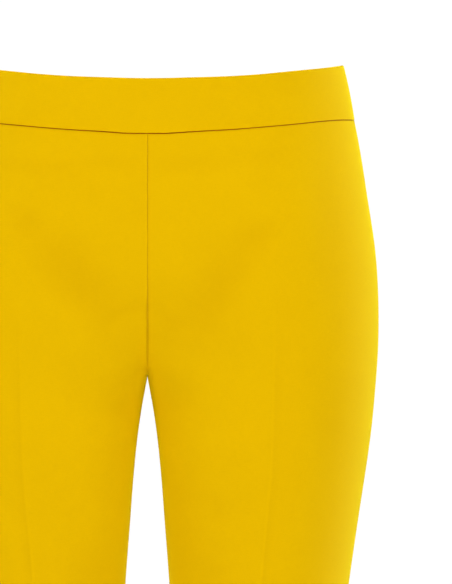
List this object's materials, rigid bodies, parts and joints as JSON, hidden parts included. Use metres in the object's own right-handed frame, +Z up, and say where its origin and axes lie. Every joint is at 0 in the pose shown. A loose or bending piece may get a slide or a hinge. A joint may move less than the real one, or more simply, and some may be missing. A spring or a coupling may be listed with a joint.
{
  "type": "cigarette trousers",
  "caption": "Slim, flat-fronted cigarette trousers with a wide shaped waistband, filled out as worn, with pressed creases and a concealed centre-back zip.",
  "frame": {"origin": "on the waist axis where the wearer holds the garment, level with the middle of the waistband at the centre front", "axes": "+Z up, the front faces -Y, +X is the wearer's left"},
  "size_m": [0.36, 0.2433, 0.9415],
  "materials": {
    "cloth": "matte woven stretch crepe",
    "tape": "woven nylon tape",
    "zip_metal": "satin enamel, dyed to match"
  },
  "bodies": {
    "trousers": {"front_left": "cloth", "front_right": "cloth", "back_left": "cloth", "back_right": "cloth", "waistband_front": "cloth", "waistband_back_left": "cloth", "waistband_back_right": "cloth", "zip_tape": "tape", "zip_slider": "zip_metal"},
    "zip_tab": {"zip_pull": "zip_metal"}
  },
  "joints": [
    {"name": "pull_hinge", "type": "hinge", "parent": "trousers", "child": "zip_tab", "pos_m": [0, 0.1074, 0.025], "axis": [1, 0, 0], "range_deg": [0, 160]}
  ]
}
